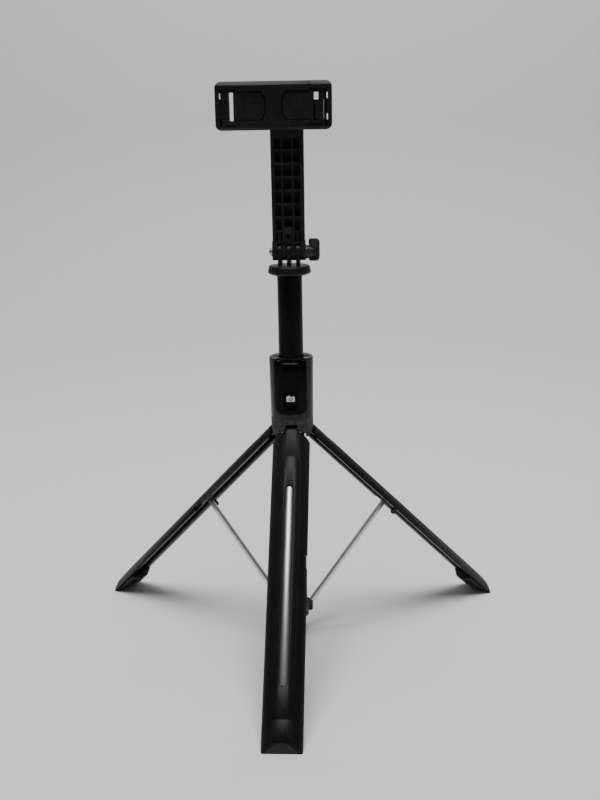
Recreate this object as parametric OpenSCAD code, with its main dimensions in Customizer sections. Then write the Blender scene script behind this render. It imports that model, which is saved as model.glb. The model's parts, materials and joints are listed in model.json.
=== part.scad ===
// Selfie stick with folding tripod legs, slide-out remote and rotating phone clamp.
// Millimetres. The origin is on the floor under the pole's axis, +Z is up, and the front
// leg points to -Y. The stick stands open: legs spread, pole raised, clamp closed.

/* [Handle] */
// Height of the handle's top face above the floor
handle_top = 210.3; // [205:0.1:214]
// Height of the seam between the handle and its collar
collar_top = 167.9; // [166:0.1:170]
// Radius of the handle at its top
handle_top_r = 15.45; // [15.2:0.05:16]
// Radius of the handle at the seam
handle_seam_r = 14.95; // [14.8:0.05:15.1]

/* [Legs] */
// Angle of the open legs from the pole
leg_open = 45.4; // [43:0.1:47]
// Height of the leg pivots
pivot_z = 158.5; // [157:0.1:159]
// Distance of the leg, stay and hub pivots from the pole's axis, legs folded
pivot_r = 11.4; // [11.3:0.05:11.5]
// Distance along the leg from its pivot to the stay's pivot
stay_along = 94; // [90:0.5:98]
// Length of the stay between its pivots
stay_len = 98; // [95:0.5:99]
// Outer radius of the three leg covers when they close round the pole
cover_r = 15.2; // [15:0.05:15.4]

/* [Pole] */
// Outer radius of the outer pole tube
pole_r = 8.65; // [8.6:0.01:8.7]
// Wall of every pole tube
tube_wall = 0.45; // [0.4:0.05:0.5]
// Height of the lower end of the outer tube
pole_bottom = 15.2; // [14:0.1:16]
// Height of the mouth of the outer tube
pole_top = 267.8; // [264:0.1:267.8]

/* [Head] */
// Pitch of the three prongs
prong_pitch = 6.2; // [6:0.1:6.4]
// Thickness of a prong
prong_t = 2.6; // [2.4:0.1:2.8]
// Height of the tilt bolt
tilt_z = 283.2; // [282:0.1:284]
// Radius of the round ends of prongs and lugs
barrel_r = 5.75; // [5.5:0.05:6]

/* [Phone clamp] */
// Width of the arm at its top
arm_w = 22.2; // [21:0.1:24]
// Depth of the arm
arm_d = 8; // [7:0.5:9]
// Height of the clamp's centre
clamp_z = 380.6; // [379:0.1:384]
// Offset of the clamp's centre from the pole's axis
clamp_x = -7.9; // [-9:0.1:-7]
// Width of the closed clamp
clamp_w = 76.8; // [76:0.1:78]
// Height of the clamp
clamp_h = 31.4; // [31:0.1:33]
// Depth of the clamp
clamp_d = 8.6; // [8.4:0.1:9]

/* [Hidden] */
$fn = 64;
leg_count = 3;

eps = 0.01;
run = 0.05;            // radial clearance of a running fit
far = 40;              // reach of a cutting block past the body it cuts

graphite = [0.20, 0.19, 0.19];
collar_tone = [0.16, 0.15, 0.14];
satin_black = [0.06, 0.06, 0.065];
gloss_black = [0.02, 0.02, 0.022];
steel = [0.75, 0.75, 0.74];
rubber = [0.05, 0.05, 0.05];
nylon = [0.8, 0.8, 0.77];

// Handle
handle_wall = 1.8;
core_r = 9;                               // bore of the handle's inner tube
core_wall = 1.5;
bush_r = 9.7;                             // outer radius of the pole's guide bushes
bush_h = 4;
cap_h = 2.3;
cap_slot_w = 3;
cap_slot_reach = 12.9;
cap_slot_deep = 1.5;
pocket_half = 11.15;                      // remote pocket: half width and back face
pocket_back = 10.2;
pocket_floor = 171.6;
pocket_corner = 4.5;
rim_half = 12.2;
rim_proud = 0.45;
rim_bottom = 170.4;
rail_slot = [7.6, 9];                      // slots for the remote's rails, each side of the middle

// Remote
remote_half = 11;
remote_gap = 0.1;
remote_bottom = 171.8;
remote_top = 209.4;
remote_front_r = 15.5;
face_t = 1.2;
button_z = 183;
button_r = 5.2;
button_gap = 0.15;
button_t = 0.6;
stem_r = 2.6;
stem_end = 13.9;
rail_low = 177;
rail_high = 204;
rail_foot = [8.95, 8];                     // front and back of the rails' hooked feet
rail_out = 9.6;

// Collar
collar_low = 153.6;
notch_half = 4.2;
screw_seat = 157.6;                       // where the collar screws' heads bear
notch_top = 164;
arch_r = 13.92;                           // arch in the collar over each leg shoulder
arch_z = 147.03;
ear_r = 2.2;
ear_out = 7.2;
skirt_in = 12.2;

// Legs, in a folded leg's own frame: z counts from the pivot, the leg hangs down at -Y
cover_t = 1.8;
leg_half_angle = 59;
side_y = 7.7;                             // the leg's long side edges
tongue_half = 3.9;
tongue_in = 2.6;
tongue_out = 3.75;
shoulder_r = 16.67;
shoulder_z = -17.68;
pin_r = 1;
frame_r = cover_r - cover_t - 0.05;
rail_r = 10.5;
foot_start = 198.5;
contact_out = -2.6;                       // contact patch, from the pivot circle
contact_in = -4.6;
tip_curve = [[3.9, 209], [3.75, 212.4], [3.1, 215.2], [1.9, 217.7], [0.6, 219.5]];
tooth_gaps = [203.4, 207.2];              // slots across the foot's inner side
tooth_gap = 1.3;
latch_along = 99.8;
latch_y = 5.4;
loop_in = 9.2;
loop_out = 10.7;
strip_half = 6.7;
strip_top = 21.5;
strip_bottom = 203.8;
strip_floor = 14.3;
strip_proud = 0.12;
slot_half = 3.3;
slot_top = 44.9;
slot_bottom = 183.6;
inlay_gap = 0.4;

// Stays
stay_half = 1.7;
stay_t = 2.5;
stay_sheet = 0.5;
stay_pin_r = 0.8;
hinge_half = 4.1;                         // half length of the stay pin
hinge_in = 2.1;
stay_turn = leg_open + asin(stay_along * sin(leg_open) / stay_len);
hub_pivot_z = pivot_z - stay_along * cos(leg_open)
    - sqrt(pow(stay_len, 2) - pow(stay_along * sin(leg_open), 2));
hub_r = 9.8;
hub_h = 9;
hub_ear_out = 12.6;
hub_ear_t = 1.4;
hub_floor = 1;

// Pole
tube_step = tube_wall + 0.4;              // from one tube's outer radius to the next
tube_bottom = 20.2;
bush_len = 8;
mouth_r = 8.95;
mouth_h = 1.6;
mouth_plug = 7;

// Head
disc_low = 268;
disc_top = 274;
disc_r = 14.9;
disc_top_r = 14.05;
nub_low = 267.1;
bolt_r = 2.45;
lug_gap = 0.15;
cheek_out = 11.3;
knob_low = 277.2;
knob_high = 292.2;
knob_in = 13.5;
knob_out = 21;
knob_waist = 16.3;                        // where the knob's inner edge is notched deepest
knob_lobe = 3.4;
knob_t = 4.6;
nut_r = 2.9;
nut_face = 11.9;                          // where the nut's dome starts

// Arm
arm_low = 289.4;
arm_y = arm_d / 2;
arm_w_low = 21.8;
arm_wall = 2.5;
arm_web = 2.6;
rib_t = 1.4;
rib_x = 3.6;
rib_low = 307.1;
rib_pitch = 8.95;
rib_count = 7;

// Clamp
clamp_back = arm_y + 0.4;
clamp_front = clamp_back + clamp_d;
clamp_left = clamp_x - clamp_w / 2;
clamp_right = clamp_x + clamp_w / 2;
clamp_corner = 4;
bevel = 1.6;
seam_x = 15.3;
seam_gap = 0.15;
hinge_off = 33;                           // claw hinges from the clamp's centre
hinge_y = clamp_front - 2.2;
recess_back = clamp_front - 4.2;
recess_half = 9.5;
recess_in = 5.5;
hinge_low = -12.8;                        // recess round a claw's two knuckles
hinge_high = 10.8;
knuckle_low = -8.8;                       // the frame's own block between the knuckles
knuckle_high = 3.3;
knuckle_neck = 2.5;                        // how far the knuckles' arms reach past the window
block_front = 1.3;
window_out = 29.5;
window_in = 26.5;
window_low = 9.6;
window_high = 8.6;
channel_half = 11.8;
channel_front = 8.1;
channel_back = 5.5;
tongue_clear = 0.2;
boss_r = 4;
tongue_end = -30;
claw_t = 3;
claw_barrel = 1.9;
claw_pin_r = 0.8;
spring_z = 10;
spring_r = 1.1;

function floor_along(dr) = (pivot_z + dr * sin(leg_open)) / cos(leg_open);
function leg_point(dr, along) = [-(pivot_r + dr), -along];
function tube_r(k) = pole_r - (k - 1) * tube_step;

// ---- Shared shapes ----

module ring(r_out, r_in, low, high) {
    translate([0, 0, low])
        difference() {
            cylinder(r = r_out, h = high - low);
            translate([0, 0, -eps]) cylinder(r = r_in, h = high - low + 2 * eps);
        }
}

module block(low, high) {
    translate(low) cube(high - low);
}

module x_rod(r, x0, x1, y, z) {
    translate([x0, y, z]) rotate([0, 90, 0]) cylinder(r = r, h = x1 - x0);
}

module y_rod(r, y0, y1, x, z) {
    translate([x, y1, z]) rotate([90, 0, 0]) cylinder(r = r, h = y1 - y0);
}

module z_rod(r, low, high, x, y) {
    translate([x, y, low]) cylinder(r = r, h = high - low);
}

// A (y, z) outline made solid from x0 to x1
module prism_x(x0, x1) {
    translate([x0, 0, 0]) rotate([90, 0, 90]) linear_extrude(x1 - x0) children();
}

// An (x, z) outline made solid from y0 to y1
module prism_y(y0, y1) {
    translate([0, y1, 0]) rotate([90, 0, 0]) linear_extrude(y1 - y0) children();
}

module round_rect(low, high, r) {
    translate([low[0] + r, low[1]]) square([high[0] - low[0] - 2 * r, high[1] - low[1]]);
    translate([low[0], low[1] + r]) square([high[0] - low[0], high[1] - low[1] - 2 * r]);
    for (x = [low[0] + r, high[0] - r])
        for (y = [low[1] + r, high[1] - r])
            translate([x, y]) circle(r);
}

// An upright slot outline with round ends
module stadium(half, low, high) {
    translate([-half, low + half]) square([2 * half, high - low - 2 * half]);
    translate([0, low + half]) circle(half);
    translate([0, high - half]) circle(half);
}

// Wedge that faces -Y
module wedge(half_angle, low, high) {
    translate([0, 0, low])
        linear_extrude(high - low)
            polygon([[0, 0], [-far * tan(half_angle), -far], [far * tan(half_angle), -far]]);
}

module three_ways() {
    for (i = [0:leg_count - 1]) rotate([0, 0, 120 * i]) children();
}

module both_sides() {
    children();
    mirror([1, 0, 0]) children();
}

// Puts a folded leg's shapes at leg i, open
module at_leg(i) {
    rotate([0, 0, 120 * (i - 1)])
        translate([0, -pivot_r, pivot_z])
            rotate([-leg_open, 0, 0])
                translate([0, pivot_r, 0]) children();
}

module at_stay(i) {
    at_leg(i)
        translate([0, -pivot_r, -stay_along])
            rotate([stay_turn, 0, 0])
                children();
}

// ---- Handle ----

module handle_cone(extra, low, high) {
    slope = (handle_top_r - handle_seam_r) / (handle_top - collar_top);
    translate([0, 0, low])
        cylinder(r1 = handle_seam_r + extra + slope * (low - collar_top),
                 r2 = handle_seam_r + extra + slope * (high - collar_top),
                 h = high - low);
}

module handle_shell() color(graphite) {
    shell_top = handle_top - cap_h;
    shell_low = collar_top;
    floor_z = shell_low + 1.8;
    difference() {
        union() {
            difference() {
                handle_cone(0, shell_low, shell_top);
                handle_cone(-handle_wall, floor_z, shell_top + eps);
            }
            z_rod(core_r + core_wall, shell_low, shell_top, 0, 0);
            intersection() {
                handle_cone(-handle_wall / 2, floor_z, shell_top);
                for (a = [-30, 30, 90])
                    rotate([0, 0, a]) block([core_r, -0.6, floor_z], [far, 0.6, shell_top]);
            }
            intersection() {
                handle_cone(rim_proud, rim_bottom, shell_top);
                prism_y(-far, -core_r - 0.1)
                    round_rect([-rim_half, rim_bottom], [rim_half, shell_top + 9], pocket_corner + 1);
            }
        }
        z_rod(core_r, shell_low - eps, shell_top + eps, 0, 0);
        z_rod(bush_r, shell_top - bush_h, shell_top + eps, 0, 0);
        z_rod(bush_r, shell_low - eps, shell_low + 0.5, 0, 0);
        ring(core_r + 0.7, core_r - eps, 189, 190.6);
        prism_y(-far, -pocket_back)
            round_rect([-pocket_half, pocket_floor], [pocket_half, shell_top + 9], pocket_corner);
        both_sides()
            block([rail_slot[0], -pocket_back - eps, rail_low - 0.3],
                  [rail_slot[1], -core_r, shell_top + eps]);
        three_ways() z_rod(0.8, shell_low - eps, shell_low + 1.3, 0, 12);
    }
}

module handle_cap() color(graphite) {
    low = handle_top - cap_h;
    difference() {
        rotate_extrude()
            union() {
                translate([core_r + 0.35, low])
                    square([handle_top_r - core_r - 0.35 - 0.8, cap_h]);
                translate([core_r + 0.35, low])
                    square([handle_top_r - core_r - 0.4, cap_h - 0.8]);
                translate([handle_top_r - 0.85, handle_top - 0.8]) circle(0.8);
            }
        block([-pocket_half, -far, low - eps], [pocket_half, -pocket_back, handle_top + 1]);
        both_sides()
            block([rail_slot[0] - 0.1, -pocket_back - 1, low - eps],
                  [rail_out + 0.2, -rail_foot[1] + 0.2, handle_top + 1]);
        for (side = [-1, 1])
            block([side > 0 ? 0 : -cap_slot_reach, -cap_slot_w / 2, handle_top - cap_slot_deep],
                  [side > 0 ? cap_slot_reach : 0, cap_slot_w / 2, handle_top + 1]);
    }
}

module guide_bushes() color(nylon) {
    top = handle_top - cap_h;
    ring(bush_r, pole_r + run, top - bush_h, top);
    ring(bush_r, pole_r + run, collar_top - 3.4, collar_top + 0.5);
}

module brake_ring() color(rubber)
    ring(core_r + 0.7, pole_r + run, 189, 190.6);

module leg_collar() color(collar_tone) {
    difference() {
        union() {
            intersection() {
                ring(handle_seam_r, skirt_in, collar_low, collar_top);
                collar_taper();
            }
            ring(skirt_in + eps, core_r, notch_top - 2, collar_top);
            three_ways() {
                for (side = [-1, 1]) {
                    low = side > 0 ? notch_half : -ear_out;
                    x_rod(ear_r, low, low + ear_out - notch_half, -pivot_r, pivot_z);
                    block([low, -pivot_r - 1.6, pivot_z],
                          [low + ear_out - notch_half, -pivot_r + ear_r, notch_top]);
                }
                rotate([0, 0, 60]) difference() {
                    block([-2.6, -skirt_in - 0.5, collar_low + 1.4], [2.6, -10.4, notch_top]);
                    z_rod(1, collar_low, collar_top, 0, -12);
                    z_rod(1.9, collar_low, screw_seat, 0, -12);
                }
            }
        }
        z_rod(core_r + 0.3, collar_low - eps, collar_top + eps, 0, 0);
        z_rod(bush_r, collar_top - 3.4, collar_top + eps, 0, 0);
        three_ways() {
            y_rod(arch_r, -far, -side_y + 0.7, 0, arch_z);
            block([-notch_half, -far, collar_low - 1], [notch_half, -pole_r, notch_top]);
            x_rod(pin_r, -ear_out - 1, ear_out + 1, -pivot_r, pivot_z);
            rotate([0, 0, 60]) z_rod(0.8, collar_low, collar_top + eps, 0, -12);
        }
    }
}

// The collar narrows towards its three lower corners
module collar_taper()
    rotate_extrude()
        polygon([[0, collar_low], [13.7, collar_low], [14.5, collar_low + 3.4],
                 [handle_seam_r - 0.05, collar_low + 8], [handle_seam_r, collar_top],
                 [0, collar_top]]);

module leg_pins() color(steel)
    three_ways() x_rod(pin_r, -ear_out, ear_out, -pivot_r, pivot_z);

module collar_screws() color(steel)
    three_ways() rotate([0, 0, 60]) {
        z_rod(0.8, screw_seat - 0.1, collar_top + 1.2, 0, -12);
        difference() {
            z_rod(1.7, screw_seat - 1.5, screw_seat, 0, -12);
            block([-1.2, -12.2, screw_seat - 2], [1.2, -11.8, screw_seat - 0.9]);
        }
    }

// ---- Remote ----

module remote_body(r_out, low, high) {
    intersection() {
        z_rod(r_out, low, high, 0, 0);
        prism_y(-far, 0)
            round_rect([-remote_half, low], [remote_half, high + 9], pocket_corner - 0.15);
        block([-remote_half, -far, low], [remote_half, -pocket_back - remote_gap, high]);
    }
}

module remote_case() color(gloss_black) {
    difference() {
        union() {
            remote_body(remote_front_r - face_t, remote_bottom, remote_top);
            both_sides() {
                block([rail_slot[0] + 0.15, -pocket_back - 0.5, rail_low],
                      [rail_slot[1] - 0.15, -rail_foot[1], rail_high]);
                block([rail_slot[0] + 0.15, -rail_foot[0], rail_low],
                      [rail_out, -rail_foot[1], rail_high]);
            }
        }
        block([-7.2, -13.4, remote_bottom + 3], [7.2, -11.2, remote_top - 6]);
        y_rod(stem_r + 0.4, -far, -12, 0, button_z);
    }
}

module remote_face() color(gloss_black) {
    difference() {
        intersection() {
            remote_body(remote_front_r, remote_bottom, remote_top);
            difference() {
                z_rod(far, remote_bottom, remote_top, 0, 0);
                z_rod(remote_front_r - face_t, remote_bottom - 1, remote_top + 1, 0, 0);
            }
        }
        y_rod(button_r + button_gap, -far, 0, 0, button_z);
        translate([0, -remote_front_r - 0.6, remote_top + 0.2])
            rotate([0, 90, 0]) cylinder(r = 2.4, h = 2 * far, center = true);
    }
}

module remote_button() color(gloss_black)
    difference() {
        intersection() {
            z_rod(remote_front_r, button_z - 9, button_z + 9, 0, 0);
            union() {
                y_rod(stem_r, -far, -stem_end, 0, button_z);
                difference() {
                    y_rod(button_r, -far, 0, 0, button_z);
                    z_rod(remote_front_r - button_t, button_z - 9, button_z + 9, 0, 0);
                }
            }
        }
        button_outline(0.3);
    }

// A camera pictogram: body with a round lens and a small hump at one side
module camera_outline() {
    difference() {
        union() {
            round_rect([-2.9, -2.1], [2.9, 1.6], 0.6);
            round_rect([-2.1, 1], [-0.4, 2.3], 0.4);
        }
        translate([0.1, -0.3]) circle(1.3);
    }
    translate([0.1, -0.3]) circle(0.75);
}

module button_outline(deep)
    intersection() {
        prism_y(-far, 0) translate([0, button_z]) camera_outline();
        ring(far, remote_front_r - deep, button_z - 9, button_z + 9);
    }

module button_symbol() color("white")
    intersection() {
        button_outline(0.3);
        z_rod(remote_front_r + 0.02, button_z - 9, button_z + 9, 0, 0);
    }

module remote_board() color("darkgreen") {
    block([-6.8, -12.2, remote_bottom + 3.3], [6.8, -11.4, remote_top - 6.3]);
    block([-1.8, -13.3, button_z - 1.8], [1.8, -12.2, button_z + 1.8]);
}

module remote_cell() color(steel)
    difference() {
        y_rod(4.8, -13.3, -12.2, 0, 195.4);
        difference() {
            y_rod(4.3, -13.31, -13.15, 0, 195.4);
            y_rod(3.9, -13.31, -13.1, 0, 195.4);
        }
    }

// ---- Pole ----

module pole_tube(k, low) {
    r = tube_r(k);
    color(satin_black) ring(r, r - tube_wall, low, pole_top - (k == 1 ? mouth_h : 0));
}

module pole_mouth() color(gloss_black) {
    inner = tube_r(2) + run;
    ring(mouth_r, inner, pole_top - mouth_h, pole_top);
    ring(pole_r - tube_wall, inner, pole_top - mouth_plug, pole_top - mouth_h);
}

module stay_hub() color(satin_black) {
    difference() {
        union() {
            ring(hub_r, pole_r, pole_bottom, pole_bottom + hub_h);
            z_rod(hub_r, pole_bottom, pole_bottom + hub_floor, 0, 0);
            z_rod(pole_r - tube_wall, pole_bottom, pole_bottom + hub_floor + 2, 0, 0);
            three_ways()
                for (side = [-1, 1])
                    hub_ear(side > 0 ? hinge_in : -hinge_in - hub_ear_t);
        }
        z_rod(2, pole_bottom - 1, pole_bottom + 4, 0, 0);
        three_ways() x_rod(stay_pin_r, -far / 8, far / 8, -pivot_r, hub_pivot_z);
    }
}

module hub_ear(x0)
    difference() {
        prism_x(x0, x0 + hub_ear_t)
            round_rect([-hub_ear_out, pole_bottom + 1.2], [-pole_r - 0.6, pole_bottom + hub_h], 1.2);
        z_rod(pole_r + 0.3, pole_bottom, pole_bottom + hub_h + 1, 0, 0);
    }

// Friction sleeve on the tail of tube k, running in the bore of the tube outside it
module tube_bush(k) color(nylon) {
    r = tube_r(k);
    ring(r + 0.4 - run, r, tube_bottom + 0.5, tube_bottom + 0.5 + bush_len);
}

// ---- Head ----

module head_disc() color(satin_black) {
    difference() {
        union() {
            rotate_extrude()
                polygon([[0, disc_low], [12.6, disc_low], [14.2, disc_low + 0.6],
                         [disc_r, disc_low + 1.5], [disc_r, disc_low + 2.1],
                         [disc_top_r, disc_top - 0.5], [disc_top_r - 0.5, disc_top],
                         [0, disc_top]]);
            z_rod(tube_r(5) - tube_wall - run, disc_low - 14, disc_low + 1, 0, 0);
            for (side = [-1, 1])
                y_rod(1.1, -1.5, 1.5, side * 10.6, nub_low + 1.1);
            for (k = [-1:1]) prong(k * prong_pitch);
        }
        x_rod(bolt_r + run, -far / 2, far / 2, 0, tilt_z);
    }
}

module prong(x)
    prism_x(x - prong_t / 2, x + prong_t / 2) {
        translate([0, tilt_z]) circle(barrel_r);
        translate([-barrel_r, disc_top - 1]) square([2 * barrel_r, tilt_z - disc_top + 1]);
    }

module clamp_bolt() color(steel)
    x_rod(bolt_r, -11.8, knob_waist, 0, tilt_z);

module thumb_knob() color(satin_black) {
    difference() {
        union() {
            translate([cheek_out + 0.25, 0, tilt_z])
                rotate([0, 90, 0]) cylinder(r1 = 5, r2 = 3.4, h = knob_waist + 0.8 - cheek_out);
            prism_y(-knob_t / 2, knob_t / 2) knob_outline(0);
        }
        for (side = [-1, 1])
            prism_y(side > 0 ? knob_t / 2 - 0.7 : -knob_t / 2 - eps,
                    side > 0 ? knob_t / 2 + eps : 0.7 - knob_t / 2)
                knob_outline(1.4);
        x_rod(bolt_r, cheek_out, knob_waist, 0, tilt_z);
    }
}

// A bow-shaped grip: straight outer edge, notched where it meets the neck
module knob_outline(inset) {
    low = knob_low + inset;
    high = knob_high - inset;
    inner = knob_in + inset;
    outer = knob_out - inset;
    waist = knob_waist + inset;
    outer_r = 2.6 - inset;
    inner_r = 1.3;
    polygon([[inner + inner_r, high], [outer - outer_r, high], [outer, high - outer_r],
             [outer, low + outer_r], [outer - outer_r, low], [inner + inner_r, low],
             [inner, low + inner_r], [inner, low + knob_lobe],
             [waist, tilt_z - 1], [waist, tilt_z + 1],
             [inner, high - knob_lobe], [inner, high - inner_r]]);
    for (z = [low + outer_r, high - outer_r]) translate([outer - outer_r, z]) circle(outer_r);
    for (z = [low + inner_r, high - inner_r]) translate([inner + inner_r, z]) circle(inner_r);
}

// ---- Arm ----

module arm_outline() {
    polygon([[-arm_w_low / 2, arm_low], [arm_w_low / 2, arm_low],
             [arm_w / 2, arm_low + 60], [arm_w / 2, clamp_z],
             [-arm_w / 2, clamp_z], [-arm_w / 2, arm_low + 60]]);
    translate([0, clamp_z]) circle(arm_w / 2);
}

module lug(x0, x1)
    prism_x(x0, x1) {
        translate([0, tilt_z]) circle(barrel_r);
        polygon([[-barrel_r, tilt_z], [barrel_r, tilt_z], [arm_y, arm_low + 1.5],
                 [-arm_y, arm_low + 1.5]]);
    }

module holder_arm() color(satin_black) {
    inner = prong_pitch - prong_t / 2 - lug_gap;
    gap_in = prong_t / 2 + lug_gap;
    cheek_in = prong_pitch + prong_t / 2 + lug_gap;
    pocket_low = rib_low + rib_t / 2;
    pocket_high = clamp_z - 12;
    difference() {
        union() {
            prism_y(-arm_y, arm_y) arm_outline();
            for (side = [-1, 1]) {
                lug(side > 0 ? gap_in : -inner, side > 0 ? inner : -gap_in);
                lug(side > 0 ? cheek_in : -cheek_out, side > 0 ? cheek_out : -cheek_in);
            }
        }
        x_rod(bolt_r + run, -far / 2, far / 2, 0, tilt_z);
        x_rod(nut_r, -far / 2, -cheek_out + 1, 0, tilt_z);
        for (side = [-1:1]) arm_row(side, pocket_low, pocket_high);
        arm_root_cuts();
        y_rod(2.6, -far, far, 0, clamp_z);
        y_rod(5.2, arm_y - 1.5, far, 0, clamp_z);
        for (k = [-1:1])
            x_rod(barrel_r + 0.25, k * prong_pitch - prong_t / 2 - lug_gap,
                  k * prong_pitch + prong_t / 2 + lug_gap, 0, tilt_z);
    }
}

// One column of the open pockets between the arm's ribs
module arm_row(side, low, high) {
    edge = arm_w_low / 2 - arm_wall;
    x0 = side == 0 ? -rib_x + rib_t / 2 : (side > 0 ? rib_x + rib_t / 2 : -edge);
    x1 = side == 0 ? rib_x - rib_t / 2 : (side > 0 ? edge : -rib_x - rib_t / 2);
    for (k = [0:rib_count - 2])
        block([x0, -far, rib_low + k * rib_pitch + rib_t / 2],
              [x1, arm_y - arm_web, rib_low + (k + 1) * rib_pitch - rib_t / 2]);
}

// Pockets round the screw boss at the arm's root
module arm_root_cuts() {
    edge = arm_w_low / 2 - arm_wall;
    for (side = [-1, 1]) {
        x0 = side > 0 ? 4.3 : -edge;
        x1 = side > 0 ? edge : -4.3;
        block([x0, -far, 298.4], [x1, arm_y - arm_web, rib_low - rib_t / 2]);
        difference() {
            block([x0, -far, 290.4], [x1, -arm_y + 2.2, 297]);
            z_rod(1.7, 289, 298, side * 6.3, -arm_y + 1.8);
        }
    }
    block([-2.9, -far, 300.6], [2.9, arm_y - arm_web, rib_low - rib_t / 2]);
    y_rod(1.9, -far, -arm_y + 2.4, 0, 294.4);
}

module acorn_nut() color(steel)
    difference() {
        union() {
            x_rod(nut_r - run, -nut_face, -cheek_out + 1, 0, tilt_z);
            intersection() {
                translate([-nut_face + 0.8, 0, tilt_z]) sphere(nut_r - run);
                x_rod(4, -17, -nut_face, 0, tilt_z);
            }
        }
        x_rod(bolt_r + run, -nut_face, 0, 0, tilt_z);
    }

module pivot_screw() color(steel)
    difference() {
        union() {
            y_rod(2.5, -clamp_back - 3, arm_y - 1.4, 0, clamp_z);
            y_rod(4.6, arm_y - 1.4, arm_y - 0.1, 0, clamp_z);
        }
        for (a = [0, 90])
            translate([0, arm_y - 0.4, clamp_z]) rotate([0, a, 0]) cube([4, 1.2, 1], center = true);
    }

// ---- Phone clamp ----

// Block of the whole clamp with its front and back edges cut at 45 degrees
module clamp_body() {
    low = [clamp_left, clamp_z - clamp_h / 2];
    high = [clamp_right, clamp_z + clamp_h / 2];
    intersection() {
        prism_y(-clamp_front, -clamp_back) round_rect(low, high, clamp_corner);
        prism_x(clamp_left - 1, clamp_right + 1)
            polygon([[-clamp_back, low[1]], [-clamp_back, high[1]],
                     [-clamp_front + bevel, high[1]], [-clamp_front, high[1] - 2.6],
                     [-clamp_front, low[1] + bevel], [-clamp_front + bevel, low[1]]]);
    }
}

function mid_x(side, off) = clamp_x + side * off;

// Outline of a claw recess, wide at the hinge and cornered at its inner end
module recess_outline(side, grow) {
    half = recess_half - grow;
    inner = recess_in + grow;
    outer = hinge_off + 2.3 - grow;
    polygon([[mid_x(side, outer), clamp_z - half],
             [mid_x(side, inner + 2.2), clamp_z - half],
             [mid_x(side, inner), clamp_z - half + 4.5],
             [mid_x(side, inner), clamp_z + half - 4.5],
             [mid_x(side, inner + 2.2), clamp_z + half],
             [mid_x(side, outer), clamp_z + half]]);
    polygon([[mid_x(side, window_in - knuckle_neck + grow), clamp_z + hinge_low + grow],
             [mid_x(side, outer), clamp_z + hinge_low + grow],
             [mid_x(side, outer), clamp_z + hinge_high - grow],
             [mid_x(side, window_in - knuckle_neck + grow), clamp_z + hinge_high - grow]]);
}

// The space between a claw's knuckles, from off_in to off_out from the clamp's centre
module knuckle_gap(side, off_in, off_out, low, high, back) {
    block([min(mid_x(side, off_in), mid_x(side, off_out)), -far, clamp_z + low],
          [max(mid_x(side, off_in), mid_x(side, off_out)), back, clamp_z + high]);
}

module clamp_cuts() {
    for (side = [-1, 1]) {
        difference() {
            prism_y(-far, -recess_back) recess_outline(side, 0);
            difference() {
                knuckle_gap(side, side < 0 ? 29.9 : 27.4, side < 0 ? 35.4 : 32.1,
                            knuckle_low + 0.2, knuckle_high - 0.2, 0);
                knuckle_gap(side, 0, far, knuckle_low, knuckle_high, -clamp_front + block_front);
            }
        }
        z_rod(claw_pin_r, clamp_z + hinge_low - 1.7, clamp_z + hinge_high + 1.7,
              mid_x(side, hinge_off), -hinge_y);
    }
    block([mid_x(-1, window_out), -far, clamp_z - window_low],
          [mid_x(-1, window_in), 0, clamp_z + window_high]);
    block([mid_x(1, window_in), -far, clamp_z + 3.5],
          [mid_x(1, window_out), 0, clamp_z + window_high - 0.4]);
    block([mid_x(-1, 36.2), -far, clamp_z + 4.5], [mid_x(-1, 34.7), 0, clamp_z + 8.2]);
    for (z = [clamp_z + 4.2, clamp_z - 9.4])
        block([mid_x(1, 34.8), -far, z], [mid_x(1, 35.8), 0, z + 3.9]);
}

module clamp_frame() color(satin_black) {
    difference() {
        intersection() {
            clamp_body();
            block([clamp_left - 1, -far, 0], [seam_x, 0, 500]);
        }
        clamp_cuts();
        difference() {
            block([tongue_end - 0.3, -channel_front, clamp_z - channel_half],
                  [seam_x + 1, -channel_back, clamp_z + channel_half]);
            y_rod(boss_r, -far, 0, 0, clamp_z);
        }
        block([-42, -channel_front, clamp_z + window_high + 0.2],
              [tongue_end, -channel_back, clamp_z + channel_half]);
        y_rod(2.5, -clamp_back - 3, 0, 0, clamp_z);
    }
}

module clamp_slider() color(satin_black) {
    rail_front = channel_front - tongue_clear;
    rail_back = channel_back + tongue_clear;
    rail_half = channel_half - tongue_clear;
    difference() {
        union() {
            intersection() {
                clamp_body();
                block([seam_x + seam_gap, -far, 0], [clamp_right + 1, 0, 500]);
            }
            block([tongue_end, -rail_front, clamp_z - rail_half],
                  [seam_x + 1, -rail_back, clamp_z + rail_half]);
        }
        block([tongue_end + 3.2, -far, clamp_z - boss_r - 0.3],
              [boss_r + 0.4, 0, clamp_z + boss_r + 0.3]);
        clamp_cuts_slider();
    }
}

module clamp_cuts_slider()
    intersection() {
        clamp_cuts();
        block([seam_x, -far, 0], [far, 0, 500]);
    }

module clamp_spring() color(steel) {
    z = clamp_z + spring_z;
    y = -(channel_front + channel_back) / 2;
    difference() {
        x_rod(spring_r, -41.8, tongue_end - 0.1, y, z);
        x_rod(spring_r - 0.35, -41, tongue_end - 1, y, z);
    }
}

module claw_pin(side) color(steel)
    z_rod(claw_pin_r, clamp_z + hinge_low - 1.5, clamp_z + hinge_high + 1.5,
          mid_x(side, hinge_off), -hinge_y);

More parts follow.
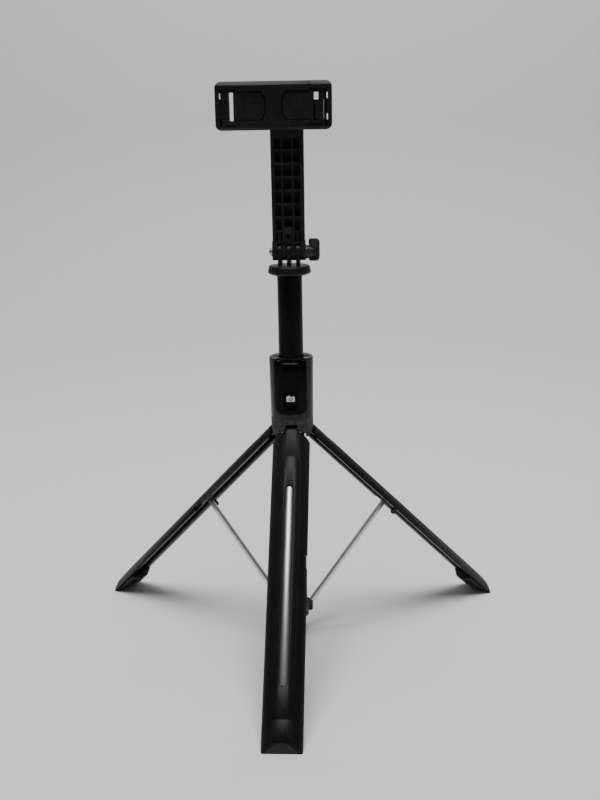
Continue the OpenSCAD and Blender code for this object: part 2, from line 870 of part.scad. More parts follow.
// A folded claw: a cornered plate joined to its hinge barrel by two arms past the window
module claw(side) color(satin_black) {
    grow = 0.3;
    front = clamp_front - 0.9;
    difference() {
        union() {
            intersection() {
                prism_y(-front, -front + claw_t) recess_outline(side, grow);
                block([min(mid_x(side, 0), mid_x(side, hinge_off)), -far, 0],
                      [max(mid_x(side, 0), mid_x(side, hinge_off)), 0, 500]);
            }
            z_rod(claw_barrel, clamp_z + hinge_low + grow, clamp_z + hinge_high - grow,
                  mid_x(side, hinge_off), -hinge_y);
        }
        knuckle_gap(side, window_in - 0.1, far, knuckle_low, knuckle_high, 0);
        block([min(mid_x(side, window_in - 0.1), mid_x(side, window_out + 0.1)), -far,
               clamp_z - window_low],
              [max(mid_x(side, window_in - 0.1), mid_x(side, window_out + 0.1)), 0,
               clamp_z + window_high]);
        z_rod(claw_pin_r + run, clamp_z - far, clamp_z + far, mid_x(side, hinge_off), -hinge_y);
        block([min(mid_x(side, 25), mid_x(side, 8.5)), -front + claw_t - 0.8, clamp_z - 7.5],
              [max(mid_x(side, 25), mid_x(side, 8.5)), 0, clamp_z + 7.5]);
    }
}

module claw_pad(side) color(rubber) {
    front = clamp_front - 0.9;
    block([min(mid_x(side, 25), mid_x(side, 8.5)), -front + claw_t - 0.8, clamp_z - 7.5],
          [max(mid_x(side, 25), mid_x(side, 8.5)), -front + claw_t + 0.1, clamp_z + 7.5]);
}

// ---- Legs, drawn folded and upright with the pivot at z = 0 ----

// Rounded outer corner of the leg's end, its upright face and the patch that meets the floor
function leg_tip() = concat(
    [for (at = tip_curve) leg_point(at[0], at[1])],
    [for (dr = [contact_out, contact_in]) leg_point(dr, floor_along(dr))]);

module leg_end_outline()
    polygon(concat([leg_point(6, -8), leg_point(6, tip_curve[0][1])], leg_tip(),
                   [leg_point(-6.4, 216.4), leg_point(-11, 209), leg_point(-11, -8)]));

module leg_cover() color(satin_black)
    difference() {
        union() {
            difference() {
                intersection() {
                    ring(cover_r, cover_r - cover_t, -240, 0);
                    wedge(leg_half_angle, -240, 0);
                    prism_x(-far, far) leg_end_outline();
                    block([-far, -far, -240], [far, -side_y, 0]);
                    union() {
                        y_rod(shoulder_r, -far, 0, 0, shoulder_z);
                        block([-far, -far, -240], [far, 0, shoulder_z]);
                    }
                }
                for (side = [-1, 1])
                    x_rod(tongue_in, side > 0 ? tongue_half : -7.8, side > 0 ? 7.8 : -tongue_half,
                          -pivot_r, 0);
            }
            leg_tongue();
        }
        x_rod(pin_r + run, -far, far, -pivot_r, 0);
        intersection() {
            ring(cover_r + 1, strip_floor, -240, 0);
            prism_y(-far, 0) strip_outline(0);
        }
        latch_notch();
    }

module leg_tongue()
    intersection() {
        prism_x(-tongue_half, tongue_half) {
            translate([-pivot_r, 0]) circle(tongue_in);
            intersection() {
                translate([-pivot_r, 0]) circle(tongue_out);
                translate([-pivot_r - 9, -9]) square([9, 18]);
            }
            translate([-cover_r, -8.5]) square([cover_r - pivot_r + 2.1, 8.5]);
        }
        z_rod(cover_r, -9, 9, 0, 0);
    }

module latch_notch()
    rotate([0, 0, 60])
        block([-3.5, -far, -latch_along - 2.8], [1, -10, -latch_along + 6.8]);

module strip_outline(grow) {
    translate([0, -strip_top - strip_half]) circle(strip_half - grow);
    translate([-strip_half + grow, -strip_bottom + grow])
        square([2 * (strip_half - grow), strip_bottom - strip_top - strip_half - grow]);
}

module leg_strip() color(satin_black)
    intersection() {
        ring(cover_r + strip_proud, strip_floor, -240, 0);
        prism_y(-far, 0)
            difference() {
                strip_outline(0.1);
                stadium(slot_half, -slot_bottom, -slot_top);
            }
    }

module leg_inlay() color(steel)
    difference() {
        intersection() {
            prism_y(-far, 0)
                stadium(slot_half - inlay_gap, -slot_bottom + inlay_gap, -slot_top - inlay_gap);
            z_rod(5, -240, 0, 0, -cover_r + 4.9);
        }
        z_rod(strip_floor, -240, 0, 0, 0);
    }

module leg_frame() color(satin_black)
    difference() {
        union() {
            intersection() {
                ring(frame_r, rail_r, -foot_start + 0.3, -9);
                difference() {
                    wedge(leg_half_angle - 1, -foot_start, -9);
                    wedge(33, -foot_start - 1, -8);
                }
                block([-far, -far, -foot_start], [far, -side_y - 0.1, 0]);
            }
            for (k = [1:9])
                intersection() {
                    ring(frame_r, frame_r - 0.5, -20 * k - 1, -20 * k + 1);
                    wedge(35, -240, 0);
                }
            for (side = [-1, 1])
                intersection() {
                    prism_x(side > 0 ? hinge_in : -hinge_half, side > 0 ? hinge_half : -hinge_in)
                        union() {
                            translate([-pivot_r, -stay_along]) circle(2);
                            translate([-frame_r - 1, -stay_along - 7]) square([2.6, 11]);
                        }
                    z_rod(frame_r, -120, -60, 0, 0);
                }
            latch_loop();
        }
        x_rod(stay_pin_r, -far / 8, far / 8, -pivot_r, -stay_along);
        latch_notch();
    }

// Small eye on one edge that enters the next leg's notch when the legs close
module latch_loop()
    difference() {
        union() {
            x_rod(2, -loop_out, -loop_in, -latch_y, -latch_along);
            intersection() {
                block([-loop_out, -8.4, -latch_along - 1.6], [-loop_in, -latch_y, -latch_along + 1.6]);
                z_rod(frame_r, -latch_along - 2, 2 - latch_along, 0, 0);
            }
        }
        x_rod(0.75, -far, 0, -latch_y, -latch_along);
    }

module leg_foot() color(rubber)
    difference() {
        intersection() {
            z_rod(frame_r, -240, -foot_start, 0, 0);
            wedge(leg_half_angle - 0.5, -240, -foot_start);
            prism_x(-far, far)
                polygon(concat([leg_point(6, foot_start)], leg_tip(),
                               [leg_point(-8.6, 209), leg_point(-8.9, foot_start)]));
        }
        for (along = tooth_gaps)
            block([-far, -pivot_r + 6.2, -along - tooth_gap], [far, 0, -along]);
        z_rod(2.5, -241, 0, 0, 0);
    }

module stay_pin() color(steel)
    x_rod(stay_pin_r, -hinge_half, hinge_half, -pivot_r, -stay_along);

// A stay hangs from its upper pivot at the origin
module stay() color(steel)
    difference() {
        union() {
            prism_x(-stay_half, stay_half)
                stadium(stay_t / 2, -stay_len - stay_t / 2, stay_t / 2);
            x_rod(stay_pin_r, -1.95, 1.95, 0, -stay_len);
        }
        x_rod(stay_pin_r + run, -far, far, 0, 0);
        block([-stay_half + stay_sheet, -stay_t, 4 - stay_len],
              [stay_half - stay_sheet, stay_t / 2 - stay_sheet, -4]);
    }

handle_shell();
handle_cap();
leg_collar();
guide_bushes();
brake_ring();
leg_pins();
collar_screws();
remote_case();
remote_face();
remote_board();
remote_cell();
remote_button();
button_symbol();
pole_tube(1, pole_bottom + hub_floor);  // pole_tube_1
pole_mouth();
stay_hub();
for (k = [2:5]) {
    pole_tube(k, tube_bottom);
    tube_bush(k);
}
head_disc();
clamp_bolt();
thumb_knob();
holder_arm();
acorn_nut();
pivot_screw();
clamp_frame();
clamp_spring();
clamp_slider();
claw_pin(-1);  // claw_left_pin
claw_pin(1);  // claw_right_pin
claw(-1);  // claw_left
claw(1);  // claw_right
claw_pad(-1);  // claw_left_pad
claw_pad(1);  // claw_right_pad
for (i = [1:leg_count]) {
    at_leg(i) leg_cover();
    at_leg(i) leg_frame();
    at_leg(i) leg_strip();
    at_leg(i) leg_inlay();
    at_leg(i) leg_foot();
    at_leg(i) stay_pin();
    at_stay(i) stay();
}
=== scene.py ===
# %% [markdown]
# # A selfie stick standing on its folding legs
#
# The stick arrives as a finished mechanical model: sixty nodes that already sit in the right
# place and move on the right joints. This lesson gives it its looks. Almost everything on the
# real stick is moulded black plastic, so there is no colour to hide behind. What the eye reads
# is how edges catch the light and how each black differs from the next in gloss and grain, so
# the lesson is mostly about rounded edges, real small parts and careful roughness.

# %% Load the frame
import json
import math

import bmesh
import bpy
from mathutils import Matrix, Vector


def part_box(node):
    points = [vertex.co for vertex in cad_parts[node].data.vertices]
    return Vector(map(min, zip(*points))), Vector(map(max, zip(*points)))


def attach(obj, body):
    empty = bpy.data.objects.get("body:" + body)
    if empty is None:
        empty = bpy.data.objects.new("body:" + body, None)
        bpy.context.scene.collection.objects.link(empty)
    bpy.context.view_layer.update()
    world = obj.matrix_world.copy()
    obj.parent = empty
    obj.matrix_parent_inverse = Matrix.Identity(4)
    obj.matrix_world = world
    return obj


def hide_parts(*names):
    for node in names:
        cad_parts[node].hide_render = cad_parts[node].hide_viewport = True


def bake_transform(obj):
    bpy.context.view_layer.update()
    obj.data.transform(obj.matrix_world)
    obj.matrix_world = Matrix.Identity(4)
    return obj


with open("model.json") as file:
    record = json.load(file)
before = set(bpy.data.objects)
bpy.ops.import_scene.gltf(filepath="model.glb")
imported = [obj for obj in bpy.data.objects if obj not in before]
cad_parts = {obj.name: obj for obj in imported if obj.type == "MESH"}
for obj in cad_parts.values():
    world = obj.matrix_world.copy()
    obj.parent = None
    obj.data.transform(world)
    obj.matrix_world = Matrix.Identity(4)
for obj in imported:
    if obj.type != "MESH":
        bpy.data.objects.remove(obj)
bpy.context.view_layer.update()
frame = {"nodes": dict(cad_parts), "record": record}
MM = 0.001
body_of = {n: body for body, nodes in frame["record"]["behaviour"]["bodies"].items() for n in nodes}
slot_of = {row["node"]: row["material_slot"] for row in frame["record"]["subparts"]}

# %% [markdown]
# ## Camera
#
# The stick is seen from the height of its phone clamp, a little to the right of the front leg,
# with the lens tipped down so that the front foot lies near the lower edge. The camera could
# be aimed with a Track To constraint, but a plain position and three angles are easier to
# reason about: how far it turns left, how far it tips down, and a slight roll.

# %% Camera
CAMERA_PLACE = Vector((0.0482, -0.7918, 0.3797))
CAMERA_TURN = math.radians(3.07)
CAMERA_DOWN = math.radians(14.25)
CAMERA_ROLL = math.radians(-0.97)
camera_data = bpy.data.cameras.new("camera")
camera_data.lens = 52
camera_data.clip_start = 10 * MM
camera = bpy.data.objects.new("camera", camera_data)
camera.matrix_world = (
    Matrix.Translation(CAMERA_PLACE)
    @ Matrix.Rotation(CAMERA_TURN, 4, "Z")
    @ Matrix.Rotation(math.pi / 2 - CAMERA_DOWN, 4, "X")
    @ Matrix.Rotation(CAMERA_ROLL, 4, "Z")
)
bpy.context.scene.collection.objects.link(camera)
bpy.context.scene.camera = camera
print("camera", round(CAMERA_PLACE.length, 3), "m from the origin, lens", camera_data.lens)

# %% [markdown]
# ## Room
#
# A pale floor runs up into a pale backdrop with no visible corner, so nothing competes with
# the black outline. Its cross-section is a flat run, a quarter circle and a wall, swept
# sideways. A plain cube room would do, but its corner would draw a hard line behind the legs.

# %% Floor and backdrop
FLOOR_FRONT, FLOOR_BACK, FLOOR_HALF = -1.1, 1.1, 2.4
SWEEP, WALL_TOP, SWEEP_STEPS = 0.35, 2.6, 16


def build_mesh(name, verts, faces, smooth=False):
    mesh = bpy.data.meshes.new(name)
    mesh.from_pydata([tuple(v) for v in verts], [], faces)
    mesh.validate()
    mesh.polygons.foreach_set("use_smooth", [smooth] * len(mesh.polygons))
    piece = bpy.data.objects.new(name, mesh)
    bpy.context.scene.collection.objects.link(piece)
    return piece


profile = [(FLOOR_FRONT, 0.0)]
for step in range(SWEEP_STEPS + 1):
    turn = math.pi / 2 * step / SWEEP_STEPS
    profile.append((FLOOR_BACK + SWEEP * math.sin(turn), SWEEP * (1 - math.cos(turn))))
profile.append((FLOOR_BACK + SWEEP, WALL_TOP))
stage_verts = [(x, y, z) for y, z in profile for x in (-FLOOR_HALF, FLOOR_HALF)]
stage_faces = [(2 * k, 2 * k + 1, 2 * k + 3, 2 * k + 2) for k in range(len(profile) - 1)]
stage = build_mesh("stage", stage_verts, stage_faces, smooth=True)
print("stage has", len(stage_faces), "strips")

# %% [markdown]
# ## Light
#
# The light is soft and comes from above and a little in front, like a ceiling panel. One large
# lamp overhead gives the top edges their bright lines, a weaker one washes the backdrop so
# that the black outline stands clear of it, and a dim pale sky fills the rest. Many small
# lamps would show as dots in the polished inlay.


# %% Lamps
def add_lamp(name, place, target, size, power):
    lamp = bpy.data.lights.new(name, "AREA")
    lamp.shape, lamp.size, lamp.energy = "SQUARE", size, power
    holder = bpy.data.objects.new(name, lamp)
    holder.location = place
    holder.rotation_euler = (Vector(target) - Vector(place)).to_track_quat("-Z", "Y").to_euler()
    bpy.context.scene.collection.objects.link(holder)
    return holder


STAND_MIDDLE = (0, 0, 0.2)
BACKDROP_MIDDLE = (0, 1.4, 0.6)
SKY_COLOUR = (0.96, 0.97, 1.0, 1)
SKY_STRENGTH = 0.12
lamps = [
    add_lamp("ceiling_panel", place=(0, -0.25, 2.2), target=STAND_MIDDLE, size=1.3, power=46),
    add_lamp("wall_wash", place=(0, 0.1, 2.3), target=BACKDROP_MIDDLE, size=1.4, power=16),
]
world = bpy.data.worlds.new("room")
world.use_nodes = True
world.node_tree.nodes["Background"].inputs["Color"].default_value = SKY_COLOUR
world.node_tree.nodes["Background"].inputs["Strength"].default_value = SKY_STRENGTH
bpy.context.scene.world = world
print(len(lamps), "lamps and a dim sky")

# %% [markdown]
# ## Shared surface effects
#
# Three things happen to every part of the stick. The mould leaves a fine grain, hands leave
# faint greasy patches and dust, and convex edges are painted lighter than flats, partly as real
# rubbed wear and partly as a painted highlight where edges catch the light. Each effect is a node
# group, so each material places it with its own strength. A group returns plain values, and
# the Principled shader stays in the material itself.


# %% Node helpers
def new_group(name, inputs, outputs):
    group = bpy.data.node_groups.new(name, "ShaderNodeTree")
    for label, default in inputs:
        socket = group.interface.new_socket(label, in_out="INPUT", socket_type="NodeSocketFloat")
        socket.default_value = default
    for label in outputs:
        group.interface.new_socket(label, in_out="OUTPUT", socket_type="NodeSocketFloat")
    return group, group.nodes.new("NodeGroupInput"), group.nodes.new("NodeGroupOutput")


def add_node(tree, kind, values=None, **settings):
    node = tree.nodes.new(kind)
    for key, value in settings.items():
        setattr(node, key, value)
    for key, value in (values or {}).items():
        node.inputs[key].default_value = value
    return node


def add_math(tree, operation, first, second=0.0):
    node = tree.nodes.new("ShaderNodeMath")
    node.operation = operation
    for socket, value in zip(node.inputs, (first, second)):
        if isinstance(value, bpy.types.NodeSocket):
            tree.links.new(value, socket)
        else:
            socket.default_value = value
    return node.outputs[0]


def add_noise(tree, scale, detail=3.0, stretch=(1, 1, 1)):
    where = add_node(tree, "ShaderNodeTexCoord")
    mapping = add_node(tree, "ShaderNodeMapping", {"Scale": stretch})
    noise = add_node(tree, "ShaderNodeTexNoise", {"Detail": detail})
    tree.links.new(where.outputs["Object"], mapping.inputs["Vector"])
    tree.links.new(mapping.outputs["Vector"], noise.inputs["Vector"])
    if isinstance(scale, bpy.types.NodeSocket):
        tree.links.new(scale, noise.inputs["Scale"])
    else:
        noise.inputs["Scale"].default_value = scale
    return noise.outputs["Fac"]


print("node helpers ready")


# %% Mould grain: a fine height field and the roughness change that goes with it
COARSE_SCALE, COARSE_SHARE = 0.21, 0.5


def make_grain():
    group, inlet, outlet = new_group("mould_grain", [("Scale", 2600), ("Rough", 0.06)],
                                     ["Height", "Roughness shift"])
    fine = add_noise(group, inlet.outputs["Scale"], detail=2)
    coarse_scale = add_math(group, "MULTIPLY", inlet.outputs["Scale"], COARSE_SCALE)
    coarse = add_noise(group, coarse_scale, detail=1)
    mixed = add_math(group, "ADD", fine, add_math(group, "MULTIPLY", coarse, COARSE_SHARE))
    group.links.new(mixed, outlet.inputs["Height"])
    centred = add_math(group, "SUBTRACT", coarse, 0.5)
    shift = add_math(group, "MULTIPLY", centred, inlet.outputs["Rough"])
    group.links.new(shift, outlet.inputs["Roughness shift"])
    return group


GRAIN = make_grain()
print(GRAIN.name, "has", len(GRAIN.nodes), "nodes")

# %% Handling marks: broad greasy patches and small dust specks
SPECK_SCALE = 2100
DUST_ON_WALLS = 0.12


def make_handling():
    group, inlet, outlet = new_group("handling_marks", [("Patch scale", 34), ("Dust", 0.5)],
                                     ["Grease", "Dust"])
    patches = add_noise(group, inlet.outputs["Patch scale"], detail=4)
    grease = add_node(group, "ShaderNodeMapRange", {"From Min": 0.47, "From Max": 0.68})
    group.links.new(patches, grease.inputs["Value"])
    group.links.new(grease.outputs["Result"], outlet.inputs["Grease"])
    specks = add_noise(group, SPECK_SCALE, detail=1)
    sharp = add_node(group, "ShaderNodeMapRange", {"From Min": 0.70, "From Max": 0.76})
    group.links.new(specks, sharp.inputs["Value"])
    facing_up = add_node(group, "ShaderNodeNewGeometry")
    split = add_node(group, "ShaderNodeSeparateXYZ")
    group.links.new(facing_up.outputs["Normal"], split.inputs["Vector"])
    upward = add_math(group, "MAXIMUM", split.outputs["Z"], DUST_ON_WALLS)
    dust = add_math(group, "MULTIPLY", sharp.outputs["Result"], upward)
    dust = add_math(group, "MULTIPLY", dust, inlet.outputs["Dust"])
    group.links.new(dust, outlet.inputs["Dust"])
    return group


HANDLING = make_handling()
print(HANDLING.name, "has", len(HANDLING.nodes), "nodes")

# %% Edge wear and painted highlight: convex edges are painted lighter, partly rubbed wear, partly a painted highlight, broken up by noise
EDGE_PATCH_SCALE = 420


def make_edge_wear_and_highlight():
    # The mask paints convex edges lighter: partly real wear, partly a painted highlight standing in
    # for edges catching the light.
    group, inlet, outlet = new_group("edge_wear_and_highlight", [("Amount", 0.5)], ["Mask"])
    geometry = add_node(group, "ShaderNodeNewGeometry")
    edge = add_node(group, "ShaderNodeMapRange", {"From Min": 0.52, "From Max": 0.62})
    group.links.new(geometry.outputs["Pointiness"], edge.inputs["Value"])
    broken = add_node(group, "ShaderNodeMapRange", {"From Min": 0.35, "From Max": 0.6})
    group.links.new(add_noise(group, EDGE_PATCH_SCALE, detail=3), broken.inputs["Value"])
    mask = add_math(group, "MULTIPLY", edge.outputs["Result"], broken.outputs["Result"])
    mask = add_math(group, "MULTIPLY", mask, inlet.outputs["Amount"])
    group.links.new(mask, outlet.inputs["Mask"])
    return group


EDGE_WEAR_AND_HIGHLIGHT = make_edge_wear_and_highlight()
print(EDGE_WEAR_AND_HIGHLIGHT.name, "has", len(EDGE_WEAR_AND_HIGHLIGHT.nodes), "nodes")

# %% Drawn lines: the long fine scratches that rolling and drawing leave on metal
LINE_SCALE, ALONG_THE_TUBE = 900, (1, 1, 0.03)


def make_drawn_lines():
    group, inlet, outlet = new_group("drawn_lines", [("Strength", 0.1)],
                                     ["Height", "Roughness shift"])
    lines = add_noise(group, LINE_SCALE, detail=3, stretch=ALONG_THE_TUBE)
    group.links.new(lines, outlet.inputs["Height"])
    centred = add_math(group, "SUBTRACT", lines, 0.5)
    group.links.new(add_math(group, "MULTIPLY", centred, inlet.outputs["Strength"]),
                    outlet.inputs["Roughness shift"])
    return group


DRAWN_LINES = make_drawn_lines()
print("groups:", [g.name for g in bpy.data.node_groups])

# %% [markdown]
# ## Materials
#
# One function wires a Principled shader to the groups, because all the plastics differ only
# in numbers: how dark, how rough, how deep the grain, how much of each mark. Numbers that are
# the same all over go straight on the shader's own sockets. Metals use the same function with
# a metallic shader and drawn lines in place of grain.


# %% Placing a group and mixing two colours
def place_group(tree, group, **values):
    node = tree.nodes.new("ShaderNodeGroup")
    node.node_tree = group
    for key, value in values.items():
        node.inputs[key.replace("_", " ")].default_value = value
    return node


def mix_colour(tree, factor, first, second):
    node = add_node(tree, "ShaderNodeMix", data_type="RGBA")
    tree.links.new(factor, node.inputs["Factor"])
    for name, value in (("A", first), ("B", second)):
        socket = [s for s in node.inputs if s.name == name and s.type == "RGBA"][0]
        if isinstance(value, bpy.types.NodeSocket):
            tree.links.new(value, socket)
        else:
            socket.default_value = (*value, 1)
    return [s for s in node.outputs if s.type == "RGBA"][0]


print("material helpers ready")

# %% A finish from its numbers
DUST_COLOUR = (0.32, 0.31, 0.29)
# How much lighter convex edges are painted: partly wear, partly a painted highlight.
WORN_AND_LIT_GAIN, WORN_AND_LIT_LIFT = 2.2, 0.012
WORN_SMOOTHING = 0.35
SMOOTHEST = 0.03
GRAIN_ROUGHNESS = 0.10
BUMP_STRENGTH = 0.6
COAT_ROUGHNESS = 0.06


def make_finish(name, colour, roughness, grain=2600, grain_depth=0.02, wear_and_highlight=0.5, grease=0.08,
                dust=0.35, specular=0.5, coat=0.0, metal=False, lines=0.0):
    material = bpy.data.materials.new(name)
    material.use_nodes = True
    tree = material.node_tree
    shader = tree.nodes["Principled BSDF"]
    shader.inputs["Metallic"].default_value = 1.0 if metal else 0.0
    shader.inputs["Specular IOR Level"].default_value = specular
    shader.inputs["Coat Weight"].default_value = coat
    shader.inputs["Coat Roughness"].default_value = COAT_ROUGHNESS
    marks = place_group(tree, HANDLING, Dust=dust)
    edge_mark = place_group(tree, EDGE_WEAR_AND_HIGHLIGHT, Amount=wear_and_highlight)
    # The base colour is painted lighter on convex edges: partly rubbed wear, partly a painted
    # highlight.
    worn_and_lit = [min(1.0, c * WORN_AND_LIT_GAIN + WORN_AND_LIT_LIFT) for c in colour]
    tone = mix_colour(tree, edge_mark.outputs["Mask"], colour, worn_and_lit)
    tone = mix_colour(tree, marks.outputs["Dust"], tone, DUST_COLOUR)
    tree.links.new(tone, shader.inputs["Base Color"])
    if lines:
        relief = place_group(tree, DRAWN_LINES, Strength=lines)
    else:
        relief = place_group(tree, GRAIN, Scale=grain, Rough=GRAIN_ROUGHNESS)
    rough = add_math(tree, "ADD", relief.outputs["Roughness shift"], roughness)
    rough = add_math(tree, "SUBTRACT", rough,
                     add_math(tree, "MULTIPLY", marks.outputs["Grease"], grease))
    rough = add_math(tree, "SUBTRACT", rough,
                     add_math(tree, "MULTIPLY", edge_mark.outputs["Mask"],
                              roughness * WORN_SMOOTHING))
    tree.links.new(add_math(tree, "MAXIMUM", rough, SMOOTHEST), shader.inputs["Roughness"])
    bump = add_node(tree, "ShaderNodeBump", {"Strength": BUMP_STRENGTH,
                                            "Distance": grain_depth * MM})
    tree.links.new(relief.outputs["Height"], bump.inputs["Height"])
    tree.links.new(bump.outputs["Normal"], shader.inputs["Normal"])
    return material


# The lighter edge is partly wear and partly a painted highlight.
print("a worn edge is", WORN_AND_LIT_GAIN, "times lighter than the flat beside it")

# %% The stick's finishes
FINISHES = {
    # The handle's higher edge amount paints a lighter rim around the remote: partly wear, partly a
    # painted highlight.
    "handle": make_finish("graphite_moulding", (0.014, 0.0135, 0.0135), 0.40, grain_depth=0.03,
                          wear_and_highlight=0.7, specular=0.16),
    "collar": make_finish("collar_moulding", (0.034, 0.030, 0.028), 0.58, grain_depth=0.04,
                          grease=0.02, dust=0.15, specular=0.24),
    "black_plastic": make_finish("matte_black_moulding", (0.0045, 0.0045, 0.005), 0.50,
                                 grain_depth=0.03, specular=0.28),
    "leg": make_finish("satin_black_moulding", (0.004, 0.004, 0.0045), 0.46, grain=3200,
                       grain_depth=0.02, grease=0.06, specular=0.16),
    "gloss_black": make_finish("polished_black", (0.0018, 0.002, 0.0026), 0.10, grain=500,
                               grain_depth=0.002, wear_and_highlight=0.2, grease=-0.08, dust=0.2,
                               specular=0.08),
    "knob": make_finish("knob_moulding", (0.012, 0.012, 0.013), 0.42, grain_depth=0.03,
                        specular=0.3),
    "pole": make_finish("anodised_black_tube", (0.0025, 0.003, 0.0035), 0.30, wear_and_highlight=0.3,
                        grain_depth=0.006, lines=0.12, specular=0.08),
    "steel": make_finish("zinc_steel", (0.62, 0.61, 0.59), 0.34, wear_and_highlight=0.2, dust=0.2,
                         grain_depth=0.006, metal=True, lines=0.16),
    "polished_steel": make_finish("polished_plating", (0.36, 0.36, 0.38), 0.42, wear_and_highlight=0.1,
                                  dust=0.15, grain_depth=0.002, metal=True, lines=0.06),
    "nylon": make_finish("natural_nylon", (0.62, 0.61, 0.56), 0.42, wear_and_highlight=0.2),
    "rubber": make_finish("soft_rubber", (0.010, 0.010, 0.010), 0.55, grain=1500,
                          grain_depth=0.06, specular=0.4, grease=0.0, dust=0.5),
    "circuit_board": make_finish("solder_mask", (0.012, 0.10, 0.035), 0.28, wear_and_highlight=0.1, coat=0.4),
    "white_ink": make_finish("printed_white", (0.70, 0.70, 0.70), 0.45, wear_and_highlight=0.0, grease=0.05,
                             dust=0.0),
}
STAGE_FINISH = make_finish("pale_paper", (0.74, 0.74, 0.735), 0.85, grain=180, grain_depth=0.1,
                           wear_and_highlight=0.0, grease=0.0, dust=0.0, specular=0.1)
stage.data.materials.append(STAGE_FINISH)
print(len(FINISHES), "finishes")

# %% [markdown]
# ## Rounding every edge
#
# A mould can't make a perfectly sharp edge, and a black object is drawn almost wholly by the
# light on its edges. The mechanical model is sharp, so each node is copied into a new mesh,
# welded, its flat triangles are joined into whole faces, and the edges that turn more than a
# set angle are bevelled. A Bevel modifier would do the same, but it clamps one shortest edge
# over the whole mesh, so the edges are chosen here by length first.

# %% Copy a node into a clean mesh and bevel its edges
SHARP = math.radians(28)
FLAT = math.radians(0.6)
WELD_GAP = 2e-6
SHORTEST_EDGE = 0.02 * MM
SOFT_STEPS = 4


def clean_copy(node):
    bm = bmesh.new()
    bm.from_mesh(frame["nodes"][node].data)
    bmesh.ops.remove_doubles(bm, verts=bm.verts, dist=WELD_GAP)
    bmesh.ops.dissolve_limit(bm, angle_limit=FLAT, verts=bm.verts, edges=bm.edges,
                             delimit={"NORMAL"})
    bmesh.ops.recalc_face_normals(bm, faces=bm.faces)
    return bm


def sharp_edges(bm):
    return [e for e in bm.edges if e.is_manifold and e.calc_face_angle(0) > SHARP
            and e.calc_length() > SHORTEST_EDGE]


def edge_middle(edge):
    return (edge.verts[0].co + edge.verts[1].co) / 2


def bevel(bm, edges, width_mm, steps):
    bmesh.ops.bevel(bm, geom=edges, offset=width_mm * MM, offset_type="OFFSET", segments=steps,
                    profile=0.5, affect="EDGES", clamp_overlap=True)
    wide_faces = [f for f in bm.faces if len(f.verts) > 4]
    bmesh.ops.triangulate(bm, faces=wide_faces, quad_method="BEAUTY", ngon_method="EAR_CLIP")


print("edges turning more than", round(math.degrees(SHARP)), "degrees get rounded")


# %% Give the rounded copy its finish and its body
def finish_piece(bm, node):
    mesh = bpy.data.meshes.new(node + "_rounded")
    bm.to_mesh(mesh)
    bm.free()
    mesh.polygons.foreach_set("use_smooth", [True] * len(mesh.polygons))
    mesh.set_sharp_from_angle(angle=SHARP)
    mesh.materials.append(FINISHES[slot_of[node]])
    piece = bpy.data.objects.new(node + "_rounded", mesh)
    bpy.context.scene.collection.objects.link(piece)
    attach(piece, body_of[node])
    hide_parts(node)
    return piece


def round_edges(node, width_mm, steps=2, softer=None):
    bm = clean_copy(node)
    edges = sharp_edges(bm)
    if softer:
        wide_mm, chosen = softer
        bevel(bm, [e for e in edges if chosen(edge_middle(e))], wide_mm, SOFT_STEPS)
        edges = [e for e in sharp_edges(bm) if not chosen(edge_middle(e))]
    bevel(bm, edges, width_mm, steps)
    return finish_piece(bm, node)


# Width of each node's rounding, in millimetres
ROUNDED = {
    "handle_shell": 0.4, "handle_cap": 0.3, "leg_collar": 0.3, "remote_case": 0.2,
    "remote_button": 0.1, "stay_hub": 0.25, "head_disc": 0.35, "thumb_knob": 0.35,
    "holder_arm": 0.3, "pivot_screw": 0.15, "clamp_frame": 0.3, "clamp_slider": 0.3,
    "claw_left": 0.25, "claw_right": 0.25,
}
for leg in (1, 2, 3):
    ROUNDED.update({f"leg_cover_{leg}": 0.3, f"leg_frame_{leg}": 0.2, f"leg_strip_{leg}": 0.15,
                    f"leg_inlay_{leg}": 0.1, f"leg_foot_{leg}": 0.4, f"stay_{leg}": 0.15})
for node, width in ROUNDED.items():
    piece = round_edges(node, width)
    print(node, len(piece.data.polygons), "faces")

# %% [markdown]
# ## The remote's face
#
# The remote's polished face has a soft pillow edge all round, while the hole for its button
# stays crisp. The same rounding runs twice: a wide one on the outer edge, then a fine one on
# the rest.

# %% Remote face
button_low, button_high = (Vector(corner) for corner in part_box("remote_button"))
button_middle = (button_low + button_high) / 2
BUTTON_KEEP_CLEAR = 6 * MM
CRISP_MM, PILLOW_MM = 0.12, 0.55


def away_from_button(point):
    across = point - button_middle
    across.y = 0
    return across.length > BUTTON_KEEP_CLEAR


face = round_edges("remote_face", CRISP_MM, softer=(PILLOW_MM, away_from_button))
print("remote face", len(face.data.polygons), "faces")
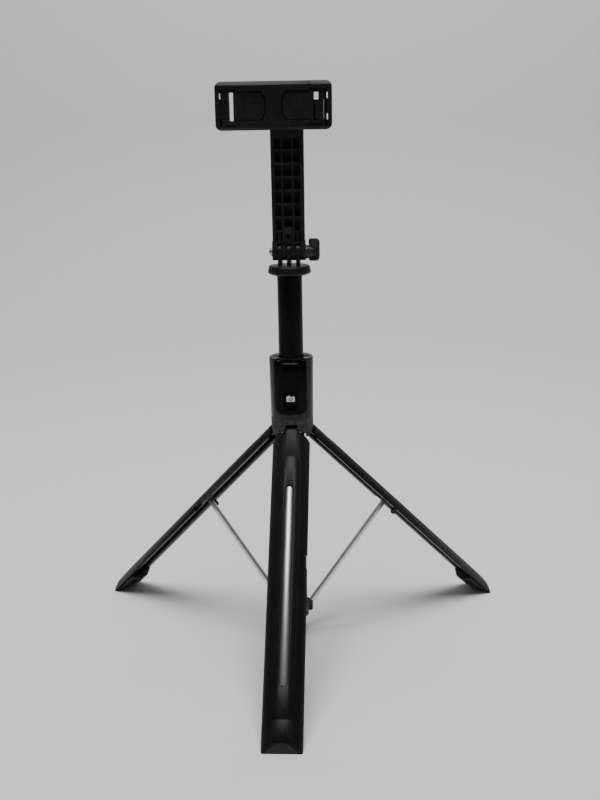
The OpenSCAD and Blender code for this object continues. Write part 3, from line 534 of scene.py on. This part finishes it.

# %% [markdown]
# ## The clamp's spring
#
# A small coil spring pulls the sliding jaw shut. The model holds its place as a plain rod. A
# curve with a bevel could draw it; here the wire's ring of points is swept along a helix into a
# mesh that fills the rod's place between the frame and the jaw.

# %% Coil spring
COILS, RINGS_PER_COIL, WIRE_SIDES, WIRE_MM = 13, 20, 8, 0.2


def coil_spring(name, low, high):
    axis_y, axis_z = (low.y + high.y) / 2, (low.z + high.z) / 2
    coil_r = (high.z - low.z) / 2 - WIRE_MM * MM
    verts, faces = [], []
    rings = COILS * RINGS_PER_COIL
    for ring in range(rings + 1):
        turn = 2 * math.pi * ring / RINGS_PER_COIL
        along = low.x + (high.x - low.x) * ring / rings
        for side in range(WIRE_SIDES):
            spin = 2 * math.pi * side / WIRE_SIDES
            reach = coil_r + WIRE_MM * MM * math.cos(spin)
            verts.append((along + WIRE_MM * MM * math.sin(spin), axis_y + reach * math.cos(turn),
                          axis_z + reach * math.sin(turn)))
    for ring in range(rings):
        for side in range(WIRE_SIDES):
            first, second = ring * WIRE_SIDES, ring * WIRE_SIDES + WIRE_SIDES
            after = (side + 1) % WIRE_SIDES
            faces.append((first + side, second + side, second + after, first + after))
    faces.append(tuple(range(WIRE_SIDES)))
    faces.append(tuple(reversed(range(rings * WIRE_SIDES, (rings + 1) * WIRE_SIDES))))
    return build_mesh(name, verts, faces, smooth=True)


spring_low, spring_high = (Vector(corner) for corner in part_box("clamp_spring"))
spring = coil_spring("clamp_coil_spring", spring_low, spring_high)
spring.data.materials.append(FINISHES["steel"])
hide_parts("clamp_spring")
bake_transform(spring)
print("spring with", COILS, "coils")

# %% [markdown]
# ## What stays as it is
#
# The rest of the nodes are pins, tubes and hidden parts whose shape is already right. They
# only need their finish.

# %% Finish the carried nodes
for node, carried in frame["nodes"].items():
    if not carried.hide_render:
        carried.data.materials.clear()
        carried.data.materials.append(FINISHES[slot_of[node]])
        carried.data.polygons.foreach_set("use_smooth", [True] * len(carried.data.polygons))
        carried.data.set_sharp_from_angle(angle=SHARP)
print("finished the carried nodes")
